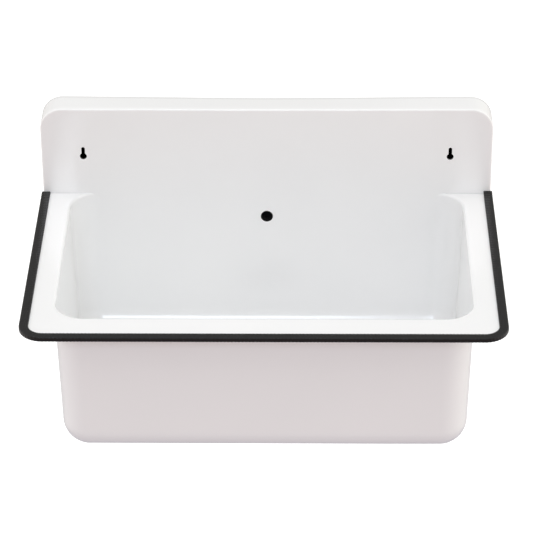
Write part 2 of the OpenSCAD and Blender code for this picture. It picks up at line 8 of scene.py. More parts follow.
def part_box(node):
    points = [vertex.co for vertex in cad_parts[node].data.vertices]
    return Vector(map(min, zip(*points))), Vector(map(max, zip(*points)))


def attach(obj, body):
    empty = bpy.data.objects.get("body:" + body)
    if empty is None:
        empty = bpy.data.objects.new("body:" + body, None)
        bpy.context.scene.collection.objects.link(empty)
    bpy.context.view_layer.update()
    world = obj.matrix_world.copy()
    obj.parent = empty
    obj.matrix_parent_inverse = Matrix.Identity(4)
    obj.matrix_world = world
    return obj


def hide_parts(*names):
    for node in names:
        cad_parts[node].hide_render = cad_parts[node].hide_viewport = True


# Looks of the bucket sink. X is to the right, the wall is the plane Y = 0, +Z is up, in metres.
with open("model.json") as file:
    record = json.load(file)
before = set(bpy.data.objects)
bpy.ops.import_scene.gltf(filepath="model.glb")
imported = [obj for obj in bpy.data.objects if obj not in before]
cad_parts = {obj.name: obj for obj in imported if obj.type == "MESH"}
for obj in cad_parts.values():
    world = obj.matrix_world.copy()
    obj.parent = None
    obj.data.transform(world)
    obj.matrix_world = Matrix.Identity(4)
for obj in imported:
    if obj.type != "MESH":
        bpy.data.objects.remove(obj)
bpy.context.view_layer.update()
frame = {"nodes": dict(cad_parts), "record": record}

MM = 0.001
QUARTER = math.pi / 2
SIDES = {"left": -1, "right": 1}
SQUARE = ((-1, -1), (1, -1), (1, 1), (-1, 1))

# The photograph's camera, fitted to the sink's straight edges
PHOTO_PX = 533
FOCAL_PX = 2616.64
SENSOR = 36.0
CAMERA_AIM = Vector((1.45, -182.3, -112.32)) * MM
CAMERA_DISTANCE = 2.83479
CAMERA_ELEVATION = math.radians(31.0)
CAMERA_TURN = math.radians(0.85)
CAMERA_ROLL = math.radians(-0.32)
CLIP_NEAR = 0.1
CLIP_FAR = 100

# Places that the frame gives
basin_low, basin_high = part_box("basin")
splash_low, splash_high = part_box("splashback")
_, trim_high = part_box("rim_trim")
flange_low, flange_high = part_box("drain_flange")
STEEL_HALF = splash_high.x
FACE_Y = splash_low.y
TOP_Z = splash_high.z
WELD_Z = splash_low.z
RIM_Z = basin_high.z
RIM_FRONT = basin_low.y
DRAIN_Y = (flange_low.y + flange_high.y) / 2

# Sheet and bowl, as the steel is pressed
SHEET = 1.6 * MM
RIM_CORNER = 24 * MM
RIM_SIDE = 32.4 * MM
RIM_DEPTH = 40 * MM
ROLL = 2.6 * MM
BOWL_CORNER = 32 * MM
TAPER = math.radians(1.5)
SLOPE = math.tan(TAPER)
FOOT = 27.4 * MM
RECESS_R = 37.5 * MM
RECESS_RUN = 3.5 * MM
RECESS_H = 3.5 * MM
RECESS_LIP_R = 3 * MM
RECESS_FOOT_R = 1.2 * MM
DISH_R = 82 * MM
DISH_FALL = 2 * MM
DRAIN_HOLE_R = 26 * MM
BOWL_H = RIM_Z - (basin_low.z + SHEET + RECESS_H + DISH_FALL)
WELD_DROP = RIM_Z - WELD_Z

# Corner axes of the bowl and of the rim
AXIS_X = STEEL_HALF - RIM_SIDE - BOWL_CORNER
AXIS_REAR = FACE_Y - BOWL_CORNER
AXIS_FRONT = RIM_FRONT + RIM_DEPTH + BOWL_CORNER
RIM_AXIS_X = STEEL_HALF - RIM_CORNER
RIM_AXIS_Y = RIM_FRONT + RIM_CORNER

# Stretches of the bowl's outline, clockwise from the rear's middle; the odd ones are corners
REAR_START = 0
REAR_RIGHT = 1
RIGHT = 2
FRONT_RIGHT = 3
FRONT = 4
FRONT_LEFT = 5
LEFT = 6
REAR_LEFT = 7
REAR_END = 8

# Overflow hole and keyholes, and the bars that cut them
OVERFLOW_R = 6.9 * MM
OVERFLOW_DROP = 29.8 * MM
KEYHOLE_X = 205.8 * MM
KEYHOLE_H = 47.1 * MM
KEYHOLE_R = 3.9 * MM
SLOT_HALF = 2 * MM
SLOT_RISE = 9.6 * MM
CUTTER_HALF = 5 * SHEET

# Splashback
SPLASH_CORNER = 25 * MM
FOLD = 2 * MM
RETURN_BOW = 2.1 * MM

# Edge trim: it swells above a share of its lip's height, and its right end curls up at the wall
TRIM_BACK = trim_high.x - STEEL_HALF
TRIM_LIP = trim_high.z - RIM_Z
TRIM_REACH = 8.0 * MM
TRIM_EDGE = 1.1 * MM
TRIM_INNER_EDGE = 0.08 * MM
TRIM_PITCH = 3.7 * MM
TRIM_SWELL = 0.11 * MM
TRIM_SWELL_FROM = 0.3
TRIM_CURL = 1.5 * MM
TRIM_CURL_RUN = 14 * MM

# The waste's threaded outlet and the overflow's studs
OUTLET_R = 23.9 * MM
OUTLET_BORE_R = 20 * MM
OUTLET_DISC = 3.8 * MM
OUTLET_PITCH = 2.4 * MM
OUTLET_DEPTH = 1.1 * MM
OUTLET_EDGE = 0.4 * MM
STUD_X = 19 * MM
STUD_R = 2.5 * MM
STUD_L = 13 * MM
STUD_PITCH = 0.8 * MM
STUD_DEPTH = 0.4 * MM
STUD_EDGE = 0.3 * MM

# Shares of half a thread's pitch that its flat root and its flank take
THREAD_ROOT = 0.15
THREAD_FLANK = 0.6

# Bead of the weld behind the bowl: ripples, slower unevenness, and how it stands out and ends
BEAD_R = 1.1 * MM
BEAD_PITCH = 3.2 * MM
BEAD_OVER = 3 * MM
BEAD_RIPPLE = 0.08
BEAD_UNEVEN = 0.12
BEAD_UNEVEN_SIZE = 20 * MM
BEAD_STAND = 0.1
BEAD_END = 0.05

# Rounding of the enamelled edges, and the gap left between the rim and the splashback's face
EDGE = 0.35 * MM
EDGE_SEGMENTS = 2
EDGE_ANGLE = 40
CREVICE = 0.3 * MM
WELD_NEAR = 0.6 * MM

# Inside a hole, faces that lean less than this towards the front are its walls
HOLE_WALL_LEAN = 0.3

# Waviness of the enamelled sheet; the seed keeps it the same in each run
WAVE_SIZE = 95 * MM
WAVE_H = 0.16 * MM
WAVE_SEED = 1
noise.seed_set(WAVE_SEED)

# Counts of mesh steps
ARC_STEPS = 16
REAR_STEPS = 24
SIDE_STEPS = 26
WALL_STEPS = 22
FOOT_STEPS = 14
ROLL_STEPS = 8
WELD_STEPS = 2
FLANGE_STEPS = 6
FLOOR_STEPS = 12
RECESS_STEPS = 5
OVERFLOW_SIDES = 64
KEYHOLE_STEPS = 40
SLOT_STEPS = 16
RETURN_STEPS = 5
FOLD_STEPS = 6
FACE_STEPS = 5
TRIM_STEPS = 6
TRIM_EDGE_STEPS = 4
THREAD_STEPS = 8
OUTLET_SIDES = 96
STUD_SIDES = 24
BEAD_STEPS = 6
BEAD_SIDES = 10

# Spread of the floor's lines at a corner
CORNER_FAN = math.radians(11)

# Distances within which points are merged, and degrees from which an edge is shaded sharp
MERGE = 1e-7
MERGE_SPLASH = 1e-6
MERGE_BOWL = 1e-5
SHARP_SHEET = 35
SHARP_TRIM = 50
SHARP_BEAD = 80

# Scale and detail of each noise
ENAMEL_CLOUDS = (9, 2)
ENAMEL_PEEL = (160, 2)
TRIM_CLOUDS = (300, 3)
TRIM_FINE = (900, 3)
METAL_WEAR = (250, 4)
MOULD_CLOUDS = (60, 3)
MOULD_GRAIN = (400, 3)
FLOOR_CLOUDS = (0.4, 1)
TRIM_CRACK_SCALE = 1100

# Part of a noise's range over which the tone goes from dark to light
TONE_FROM = 0.3
TONE_TO = 0.7

# Distance and strength of each bump
ENAMEL_BUMP = (0.02 * MM, 0.4)
TRIM_CRACK_BUMP = (0.12 * MM, 0.22)
TRIM_FINE_BUMP = (0.08 * MM, 0.22)
METAL_BUMP = (0.01 * MM, 0.3)
MOULD_BUMP = (0.03 * MM, 0.4)

# Dark and light tone of each surface, and its lowest and highest roughness
ENAMEL_TONES = ((0.934, 0.934, 0.93), (0.95, 0.949, 0.944))
ENAMEL_ROUGH = (0.33, 0.41)
# Near-black painted shade for the walls inside the punched holes
HOLE_SHADE_PAINT = (0.008, 0.008, 0.012)
TRIM_TONES = ((0.003, 0.003, 0.003), (0.006, 0.006, 0.0065))
TRIM_ROUGH = (0.2, 0.3)
METALS = {
    "spring_steel": ((0.4, 0.4, 0.42), (0.5, 0.5, 0.52), 0.3, 0.45),
    "stainless": ((0.6, 0.6, 0.61), (0.68, 0.68, 0.69), 0.16, 0.28),
    "zinc_steel": ((0.5, 0.51, 0.53), (0.66, 0.66, 0.66), 0.3, 0.45),
    "brass": ((0.62, 0.46, 0.22), (0.76, 0.58, 0.3), 0.22, 0.36),
}
MOULDED = {
    "rubber_black": ((0.014, 0.014, 0.014), (0.03, 0.03, 0.03), 0.55, 0.7),
    "pipe_plastic": ((0.018, 0.018, 0.02), (0.03, 0.03, 0.032), 0.3, 0.42),
}

# Brightness of the room by direction, as linear colours; the camera itself sees plain white
ROOM = {
    "top": (1.08, 1.08, 1.08),
    "front_high": (0.20, 0.15, 0.15),
    "back_high": (0.42, 0.41, 0.40),
    "left_high": (1.35, 1.33, 1.31),
    "right_high": (1.60, 1.60, 1.53),
    "front_low": (0.47, 0.30, 0.25),
    "back_low": (0.62, 0.62, 0.62),
    "left_low": (1.08, 1.01, 0.95),
    "right_low": (1.23, 1.14, 1.07),
    "bottom": (0.50, 0.49, 0.55),
}
BACKGROUND = (1.0, 1.0, 1.0)

# Spans of a direction's X or Y, then of its Z, over which the room's tones blend
TURN_BAND = (-0.1, 0.1)
BOTTOM_BAND = (-0.35, -0.75)
WALL_BAND = (-0.2, 0.2)
TOP_BAND = (0.5, 0.95)

# Keeps the world from dividing by zero straight up and straight down
LEAST_FLAT = 0.0001

# Key light, a rectangle before and above the sink
KEY_PLACE = Vector((-0.19, -3.05, 1.8))
KEY_AIM = Vector((-0.07, -0.05, -0.27))
KEY_SIZE = (0.8, 0.72)
KEY_POWER = 24.0
KEY_COLOUR = (0.78, 0.88, 1.0)

# Studio floor, and the patches of painted shade on it: black spots that are seen through the
# keyholes
FLOOR_Z = -3.0
FLOOR_HALF = 14.0
FLOOR_TONES = ((0.93, 0.93, 0.93), (0.95, 0.95, 0.95))
FLOOR_ROUGH = 0.9
FLOOR_GLOW = 0.35
PATCH_HALF_X = 24 * MM
PATCH_HALF_Y = 51 * MM
PATCH_LIFT = 2 * MM


def lerp(a, b, t):
    return a + (b - a) * t


def eased(t):
    """A share that takes small steps near both ends, so that walls run cleanly into corners."""
    return (1 - math.cos(math.pi * t)) / 2


def circle_point(angle, r):
    return Vector((math.cos(angle) * r, math.sin(angle) * r))


def arc_points(start, end, r, steps):
    """Points round the origin from one angle to another."""
    return [circle_point(lerp(start, end, i / steps), r) for i in range(steps + 1)]


def rounded_path(points, radii, steps):
    """A polyline with its inner corners turned into arcs of the given radii."""
    out = [Vector(points[0])]
    for i in range(1, len(points) - 1):
        before, here, after = (Vector(points[k]) for k in (i - 1, i, i + 1))
        r = radii[i - 1]
        a = (before - here).normalized()
        b = (after - here).normalized()
        half = a.angle(b) / 2
        centre = here + (a + b).normalized() * (r / math.sin(half))
        start = here + a * (r / math.tan(half)) - centre
        end = here + b * (r / math.tan(half)) - centre
        sweep = start.angle_signed(end)
        for k in range(steps + 1):
            turn = -sweep * k / steps
            out.append(centre + Matrix.Rotation(turn, 2) @ start)
    out.append(Vector(points[-1]))
    return out


# Meshes
def add_ring(verts, rings, points):
    """Adds a ring of points and keeps the numbers that they get."""
    first = len(verts)
    verts.extend(points)
    rings.append(list(range(first, len(verts))))


def quads_between(first, second, closed):
    """Faces between two rings of vertex numbers."""
    n = len(first)
    last = n if closed else n - 1
    return [(first[i], first[(i + 1) % n], second[(i + 1) % n], second[i]) for i in range(last)]


def skin(rings, closed):
    """Faces from each ring to the next."""
    faces = []
    for first, second in zip(rings, rings[1:]):
        faces += quads_between(first, second, closed)
    return faces


def end_caps(rings):
    return [tuple(rings[0]), tuple(reversed(rings[-1]))]


def add_object(name, data):
    """A new object in the scene, from a mesh, a camera or a light."""
    obj = bpy.data.objects.new(name, data)
    bpy.context.scene.collection.objects.link(obj)
    return obj


def make_object(name, verts, faces):
    """A new mesh object from points and faces."""
    mesh = bpy.data.meshes.new(name)
    mesh.from_pydata([tuple(v) for v in verts], [], faces)
    mesh.update()
    return add_object(name, mesh)


def tidy_mesh(obj, merge):
    """Merges points that coincide and makes the normals consistent."""
    bm = bmesh.new()
    bm.from_mesh(obj.data)
    bmesh.ops.remove_doubles(bm, verts=bm.verts, dist=merge)
    bmesh.ops.recalc_face_normals(bm, faces=bm.faces)
    bm.to_mesh(obj.data)
    bm.free()


def smooth_shade(obj, sharp_from):
    for face in obj.data.polygons:
        face.use_smooth = True
    obj.data.set_sharp_from_angle(angle=math.radians(sharp_from))


def bake_modifiers(obj):
    """Replaces the object's mesh by what its modifiers make of it."""
    graph = bpy.context.evaluated_depsgraph_get()
    graph.update()
    baked = bpy.data.meshes.new_from_object(obj.evaluated_get(graph))
    obj.modifiers.clear()
    obj.data = baked


# Enamelled sheet
def waved(point):
    """The same place with the slow waviness of pressed and fired sheet."""
    return point + noise.noise_vector(point / WAVE_SIZE) * WAVE_H


def turn_faces(obj, outward):
    """Turns the skin's faces so that the furthest one in a direction looks that way."""
    mesh = obj.data
    furthest = max(mesh.polygons, key=lambda face: face.center.dot(outward))
    if furthest.normal.dot(outward) < 0:
        mesh.flip_normals()


def thicken(obj):
    """Gives the skin the sheet's thickness behind its faces."""
    mod = obj.modifiers.new("sheet", "SOLIDIFY")
    mod.thickness = SHEET
    mod.offset = -1
    mod.use_even_offset = True
    mod.use_rim = True
    bake_modifiers(obj)


def cut_with(obj, cutters):
    """Takes the cutters away from the object and removes them."""
    for cutter in cutters:
        mod = obj.modifiers.new("cut", "BOOLEAN")
        mod.operation = "DIFFERENCE"
        mod.solver = "EXACT"
        mod.object = cutter
    bake_modifiers(obj)
    for cutter in cutters:
        bpy.data.objects.remove(cutter)


def at_weld(edge):
    """Whether an edge lies on the weld, where two sheets run on smoothly."""
    places = [v.co for v in edge.verts]
    return all(abs(p.z - WELD_Z) < WELD_NEAR and p.y > FACE_Y - WELD_NEAR for p in places)


def round_edges(obj):
    """Rounds the sharp edges, except along the weld."""
    bm = bmesh.new()
    bm.from_mesh(obj.data)
    weight = bm.edges.layers.float.new("bevel_weight_edge")
    for edge in bm.edges:
        if not at_weld(edge) and edge.calc_face_angle(0) > math.radians(EDGE_ANGLE):
            edge[weight] = 1
    bm.to_mesh(obj.data)
    bm.free()
    mod = obj.modifiers.new("edges", "BEVEL")
    mod.width = EDGE
    mod.segments = EDGE_SEGMENTS
    mod.limit_method = "WEIGHT"
    mod.miter_outer = "MITER_ARC"
    bake_modifiers(obj)


def mark_hole_walls(obj, centres, reach):
    """Marks the faces inside punched holes, which get near-black painted shade."""
    mark = obj.data.attributes.new("painted_hole_shade", "FLOAT", "FACE")
    for face in obj.data.polygons:
        inside = any((face.center - centre).length < reach for centre in centres)
        mark.data[face.index].value = float(inside and abs(face.normal.y) < HOLE_WALL_LEAN)


def finish_sheet(obj, outward, cutters, centres, reach):
    """Makes a skin that looks outward into sheet, with its holes, rounded edges and the marks for
    painted shade inside its holes.
    """
    turn_faces(obj, outward)
    thicken(obj)
    cut_with(obj, cutters)
    round_edges(obj)
    mark_hole_walls(obj, centres, reach + 2 * EDGE)
    smooth_shade(obj, SHARP_SHEET)
    return obj


# Bowl
def bowl_stations():
    """Stations clockwise round the bowl from the rear's middle: stretch, share, axis, angle."""
    corners = [(AXIS_X, AXIS_REAR), (AXIS_X, AXIS_FRONT),
               (-AXIS_X, AXIS_FRONT), (-AXIS_X, AXIS_REAR)]
    runs = [SIDE_STEPS, 2 * REAR_STEPS, SIDE_STEPS]
    out = []
    for i in range(REAR_STEPS):
        t = i / REAR_STEPS
        out.append((REAR_START, t, AXIS_X * t, AXIS_REAR, QUARTER))
    for k, (x, y) in enumerate(corners):
        for i in range(ARC_STEPS + 1):
            t = i / ARC_STEPS
            out.append((REAR_RIGHT + 2 * k, t, x, y, QUARTER * (1 - k - t)))
        if k < len(runs):
            nx, ny = corners[k + 1]
            for i in range(1, runs[k]):
                t = eased(i / runs[k])
                out.append((RIGHT + 2 * k, t, lerp(x, nx, t), lerp(y, ny, t), -QUARTER * k))
    for i in range(1, REAR_STEPS):
        t = i / REAR_STEPS
        out.append((REAR_END, t, -AXIS_X * (1 - t), AXIS_REAR, QUARTER))
    return out


def ring_point(station, off, cut):
    """A station's point at a distance from the corner axes; cut limits the rear corners' arcs."""
    stretch, t, x, y, angle = station
    if stretch == REAR_RIGHT:
        angle = cut * (1 - t)
    if stretch == REAR_LEFT:
        angle = -math.pi - cut * t
    return Vector((x, y)) + circle_point(angle, off)


def rear_cut(off, rear):
    """The cut of the rear corners' arcs that end at a depth."""
    return math.asin((rear - AXIS_REAR) / off)


def rim_point(station):
    """The point of the rim's bare edge that a station leads out to."""
    stretch, t, _, _, angle = station
    side = 1 if stretch < FRONT else -1
    rear = FACE_Y - CREVICE
    if stretch == REAR_RIGHT:
        return Vector((STEEL_HALF, lerp(rear, AXIS_REAR, t)))
    if stretch == REAR_LEFT:
        return Vector((-STEEL_HALF, lerp(AXIS_REAR, rear, t)))
    if stretch in (RIGHT, LEFT):
        share = t if stretch == RIGHT else 1 - t
        return Vector((side * STEEL_HALF, lerp(AXIS_REAR, RIM_AXIS_Y, share)))
    if stretch in (FRONT_RIGHT, FRONT_LEFT):
        return Vector((side * RIM_AXIS_X, RIM_AXIS_Y)) + circle_point(angle, RIM_CORNER)
    return Vector((lerp(RIM_AXIS_X, -RIM_AXIS_X, t), RIM_FRONT))


def floor_angle(station):
    """Direction from the drain in which a station's floor line meets the dish's edge."""
    stretch, t = station[:2]
    rear = math.atan2(AXIS_REAR - DRAIN_Y, AXIS_X)
    front = math.atan2(AXIS_FRONT - DRAIN_Y, AXIS_X)
    corners = [rear, front, -math.pi - front, -math.pi - rear]
    if stretch == REAR_START:
        return lerp(QUARTER, rear + CORNER_FAN, t)
    if stretch == REAR_END:
        return lerp(corners[-1] - CORNER_FAN, -3 * QUARTER, t)
    if stretch % 2:
        return corners[stretch // 2] + lerp(CORNER_FAN, -CORNER_FAN, t)
    k = stretch // 2
    return lerp(corners[k - 1] - CORNER_FAN, corners[k] + CORNER_FAN, t)


def wall_off(z):
    """Distance of the inner wall from the corner axes at a height above the rim."""
    return BOWL_CORNER + (z + WELD_DROP) * SLOPE


def foot_arc():
    """Centre of the arc between wall and floor: distance from the axes, height from the rim."""
    z = FOOT - BOWL_H
    return wall_off(z) - FOOT / math.cos(TAPER), z


def upper_profile():
    """Roll and the little wall above the weld, from the weld up to the rim."""
    top = -ROLL * (1 - math.sin(TAPER))
    centre = wall_off(top) + ROLL * math.cos(TAPER)
    heights = [lerp(-WELD_DROP, top, i / WELD_STEPS) for i in range(1, WELD_STEPS + 1)]
    out = [(wall_off(z), z) for z in heights]
    for i in range(1, ROLL_STEPS + 1):
        angle = lerp(math.pi - TAPER, QUARTER, i / ROLL_STEPS)
        out.append((centre + ROLL * math.cos(angle), -ROLL + ROLL * math.sin(angle)))
    return out


def lower_profile():
    """Wall and foot, from the weld down to the floor."""
    centre, z0 = foot_arc()
    out = []
    for i in range(WALL_STEPS):
        z = lerp(-WELD_DROP, z0 - FOOT * math.sin(TAPER), i / WALL_STEPS)
        out.append((wall_off(z), z))
    for i in range(FOOT_STEPS + 1):
        angle = lerp(-TAPER, -QUARTER, i / FOOT_STEPS)
        out.append((centre + FOOT * math.cos(angle), z0 + FOOT * math.sin(angle)))
    return out


def dish_profile():
    """Radius and height of the dished floor, the recess and its flat, in to the drain hole."""
    low = -BOWL_H - DISH_FALL - RECESS_H
    corners = [(DISH_R, -BOWL_H), (RECESS_R + RECESS_RUN, -BOWL_H - DISH_FALL),
               (RECESS_R, low), (DRAIN_HOLE_R, low)]
    return rounded_path(corners, [RECESS_LIP_R, RECESS_FOOT_R], RECESS_STEPS)


def bowl_rings(stations, rim_stations):
    """Points, rings from the rim to the drain hole, and how many of the rings are open behind."""
    verts = []
    rings = []

    def put(points, z):
        add_ring(verts, rings, [waved(Vector((p.x, p.y, RIM_Z + z))) for p in points])

    upper = upper_profile()
    rim_off = upper[-1][0]
    cut = rear_cut(rim_off, FACE_Y - CREVICE)
    inner = [ring_point(s, rim_off, cut) for s in rim_stations]
    outer = [rim_point(s) for s in rim_stations]
    for k in range(FLANGE_STEPS):
        put([lerp(o, i, k / FLANGE_STEPS) for o, i in zip(outer, inner)], 0)
    for off, z in reversed(upper):
        cut = rear_cut(off, FACE_Y - CREVICE * (1 + z / WELD_DROP))
        put([ring_point(s, off, cut) for s in rim_stations], z)
    open_count = len(rings)
    lower = lower_profile()
    for off, z in lower:
        put([ring_point(s, off, QUARTER) for s in stations], z)
    edge = [ring_point(s, lower[-1][0], QUARTER) for s in stations]
    directions = [floor_angle(s) for s in stations]
    drain = Vector((0, DRAIN_Y))
    dish = [drain + circle_point(a, DISH_R) for a in directions]
    for k in range(1, FLOOR_STEPS):
        put([lerp(e, d, k / FLOOR_STEPS) for e, d in zip(edge, dish)], -BOWL_H)
    for r, z in dish_profile():
        put([drain + circle_point(a, r) for a in directions], z)
    return verts, rings, open_count


def build_bowl():
    """The pressed bowl with its rim, from one sheet."""
    stations = bowl_stations()
    rear = (REAR_START, REAR_END)
    open_ids = [i for i, station in enumerate(stations) if station[0] not in rear]
    verts, rings, open_count = bowl_rings(stations, [stations[i] for i in open_ids])
    joint = [rings[open_count][i] for i in open_ids]
    faces = skin(rings[:open_count] + [joint], False) + skin(rings[open_count:], True)
    obj = make_object("sink_bowl", verts, faces)
    tidy_mesh(obj, MERGE_BOWL)
    up = Vector((0, 0, 1))
    return finish_sheet(obj, up, [overflow_cutter()], [overflow_centre()], OVERFLOW_R)


def overflow_centre():
    return Vector((0, FACE_Y + (WELD_DROP - OVERFLOW_DROP) * SLOPE, RIM_Z - OVERFLOW_DROP))


def overflow_cutter():
    """A round bar square to the rear wall at the overflow hole."""
    bm = bmesh.new()
    bmesh.ops.create_cone(bm, cap_ends=True, segments=OVERFLOW_SIDES, radius1=OVERFLOW_R,
                          radius2=OVERFLOW_R, depth=2 * CUTTER_HALF)
    mesh = bpy.data.meshes.new("overflow_cutter")
    bm.to_mesh(mesh)
    bm.free()
    obj = add_object("overflow_cutter", mesh)
    square = Matrix.Rotation(QUARTER - TAPER, 4, "X")
    obj.matrix_world = Matrix.Translation(overflow_centre()) @ square
    return obj


# Splashback
def splash_stations():
    """Stations up the right side, over the top and down the left, each with its axis and angle.

    The rows and columns of the flat face's grid follow them.
    """
    x = STEEL_HALF - SPLASH_CORNER
    z = TOP_Z - SPLASH_CORNER
    rows = [lerp(WELD_Z, z, i / SIDE_STEPS) for i in range(SIDE_STEPS)]
    columns = [lerp(x, -x, i / (2 * REAR_STEPS)) for i in range(1, 2 * REAR_STEPS)]
    out = [(x, row, 0.0) for row in rows]
    out += [(x, z, QUARTER * i / ARC_STEPS) for i in range(ARC_STEPS + 1)]
    out += [(column, z, QUARTER) for column in columns]
    out += [(-x, z, QUARTER * (1 + i / ARC_STEPS)) for i in range(ARC_STEPS + 1)]
    out += [(-x, row, math.pi) for row in reversed(rows)]
    return out, rows + [z], [x] + columns + [-x]


def splash_profile():
    """Distance out from the corner axes and depth, from the return's rear edge to the flat face."""
    inner = SPLASH_CORNER - FOLD
    out = [(SPLASH_CORNER, lerp(0, FACE_Y + FOLD, i / RETURN_STEPS)) for i in range(RETURN_STEPS)]
    for i in range(FOLD_STEPS + 1):
        angle = QUARTER * i / FOLD_STEPS
        out.append((inner + FOLD * math.cos(angle), FACE_Y + FOLD - FOLD * math.sin(angle)))
    out += [(inner * (1 - i / FACE_STEPS), FACE_Y) for i in range(1, FACE_STEPS + 1)]
    return out


def bowed(point):
    """Lets the top return sag a little between its ends, most at its rear edge."""
    span = (1 - (point.x / STEEL_HALF) ** 2) ** 2
    depth = 1 - point.y / FACE_Y
    if point.z > TOP_Z - SPLASH_CORNER:
        point.z -= RETURN_BOW * span * depth
    return point


def build_splashback():
    """The folded back plate: rings along its returns and fold, and a grid in its flat face."""
    stations, rows, columns = splash_stations()
    verts = []
    rings = []
    grid = []
    for off, y in splash_profile():
        points = []
        for x, z, angle in stations:
            p = circle_point(angle, off)
            points.append(waved(bowed(Vector((x + p.x, y, z + p.y)))))
        add_ring(verts, rings, points)
    for row in rows:
        add_ring(verts, grid, [waved(Vector((x, FACE_Y, row))) for x in columns])
    obj = make_object("sink_splashback", verts, skin(rings, False) + skin(grid, False))
    tidy_mesh(obj, MERGE_SPLASH)
    front = Vector((0, -1, 0))
    cutters = [keyhole_cutter(side) for side in SIDES.values()]
    centres = [keyhole_centre(side) for side in SIDES.values()]
    return finish_sheet(obj, front, cutters, centres, SLOT_RISE / 2 + KEYHOLE_R)


def keyhole_centre(side):
    return Vector((side * KEYHOLE_X, FACE_Y, RIM_Z + KEYHOLE_H + SLOT_RISE / 2))


def keyhole_cutter(side):
    """A bar with the keyhole's outline: round end below, slot above."""
    neck = math.asin(SLOT_HALF / KEYHOLE_R)
    outline = arc_points(QUARTER - neck, -3 * QUARTER + neck, KEYHOLE_R, KEYHOLE_STEPS)
    slot = arc_points(math.pi, 0, SLOT_HALF, SLOT_STEPS)
    outline += [Vector((0, SLOT_RISE)) + p for p in slot]
    n = len(outline)
    x0 = side * KEYHOLE_X
    z0 = RIM_Z + KEYHOLE_H
    depths = (-CUTTER_HALF, CUTTER_HALF)
    verts = [(x0 + p.x, FACE_Y + d, z0 + p.y) for d in depths for p in outline]
    faces = [tuple(range(n)), tuple(range(2 * n - 1, n - 1, -1))]
    faces += [((i + 1) % n, i, n + i, n + (i + 1) % n) for i in range(n)]
    obj = make_object("keyhole_cutter", verts, faces)
    tidy_mesh(obj, MERGE)
    return obj


# Edge trim
def trim_section():
    """Outline of the trim in section: out from the sheet's edge, and up from the sheet's middle."""
    half = SHEET / 2
    high = half + TRIM_LIP
    inner = -TRIM_REACH
    corners = [(0, half), (inner, half), (inner, high), (TRIM_BACK, high), (TRIM_BACK, -high),
               (inner, -high), (inner, -half), (0, -half)]
    radii = [TRIM_INNER_EDGE] + [TRIM_EDGE] * 4 + [TRIM_INNER_EDGE]
    return rounded_path(corners, radii, TRIM_EDGE_STEPS)


def trim_path():
    """Stations along the rim's three free edges, several to a swell: axis, angle, distance."""
    side = FACE_Y - RIM_AXIS_Y
    arc = QUARTER * RIM_CORNER
    lengths = [side, arc, 2 * RIM_AXIS_X, arc, side]
    count = round(sum(lengths) / (TRIM_PITCH / TRIM_STEPS))
    out = []
    for i in range(count + 1):
        s = sum(lengths) * i / count
        rest = s
        part = 0
        while part < len(lengths) - 1 and rest > lengths[part]:
            rest -= lengths[part]
            part += 1
        t = rest / lengths[part]
        if part == 0:
            out.append((RIM_AXIS_X, lerp(FACE_Y, RIM_AXIS_Y, t), 0.0, s))
        elif part == 1:
            out.append((RIM_AXIS_X, RIM_AXIS_Y, -QUARTER * t, s))
        elif part == 2:
            out.append((lerp(RIM_AXIS_X, -RIM_AXIS_X, t), RIM_AXIS_Y, -QUARTER, s))
        elif part == 3:
            out.append((-RIM_AXIS_X, RIM_AXIS_Y, -QUARTER * (1 + t), s))
        else:
            out.append((-RIM_AXIS_X, lerp(RIM_AXIS_Y, FACE_Y, t), -math.pi, s))
    return out


def build_trim():
    """The plastic trim, swollen a little over each link of the steel strip inside it."""
    section = trim_section()
    centre = Vector(((TRIM_BACK - TRIM_REACH) / 2, 0))
    still = Vector((0, 0))
    inner_points = (0, len(section) - 1)
    swells_from = SHEET / 2 + TRIM_SWELL_FROM * TRIM_LIP
    verts = []
    rings = []
    for x, y, angle, s in trim_path():
        swell = TRIM_SWELL * math.cos(2 * math.pi * s / TRIM_PITCH)
        curl = TRIM_CURL * max(0.0, 1 - (FACE_Y - y) / TRIM_CURL_RUN) ** 2 if x > 0 else 0.0
        points = []
        for k, p in enumerate(section):
            outside = k not in inner_points and abs(p.y) > swells_from
            out = (p - centre).normalized() * swell if outside or p.x > 0 else still
            reach = circle_point(angle, RIM_CORNER + p.x + out.x)
            z = RIM_Z - SHEET / 2 + p.y + out.y + curl
            points.append(Vector((x + reach.x, y + reach.y, z)))
        add_ring(verts, rings, points)
    obj = make_object("edge_trim", verts, skin(rings, True) + end_caps(rings))
    tidy_mesh(obj, MERGE)
    smooth_shade(obj, SHARP_TRIM)
    return obj


# Threads and weld
def thread_rows(low, high, r, pitch, depth):
    """Rows along a thread that fades in and out: height, root's radius and thread's depth."""
    count = round((high - low) / pitch * THREAD_STEPS)
    out = []
    for i in range(count + 1):
        z = lerp(low, high, i / count)
        share = min(1.0, (z - low) / pitch, (high - z) / pitch)
        out.append((z, r - depth, depth * share))
    return out


def thread_reach(z, turn, pitch):
    """Share of the thread's depth at a height and a turn from 0 to 1: flat crest, flat root."""
    wave = 1 - abs(2 * ((z / pitch - turn) % 1) - 1)
    return min(1.0, max(0.0, (wave - THREAD_ROOT) / THREAD_FLANK))


def turned(name, profile, pitch, sides):
    """A turned piece, bored or solid, from rows of height, radius and thread's depth."""
    verts = []
    rings = []
    for z, r, depth in profile:
        points = []
        for i in range(sides):
            thread = depth * thread_reach(z, i / sides, pitch) if depth > 0 else 0
            p = circle_point(2 * math.pi * i / sides, r + thread)
            points.append(Vector((p.x, p.y, z)))
        add_ring(verts, rings, points)
    faces = skin(rings, True)
    if profile[0][1] > 0:
        faces += quads_between(rings[-1], rings[0], True)
    obj = make_object(name, verts, faces)
    tidy_mesh(obj, MERGE)
    return obj


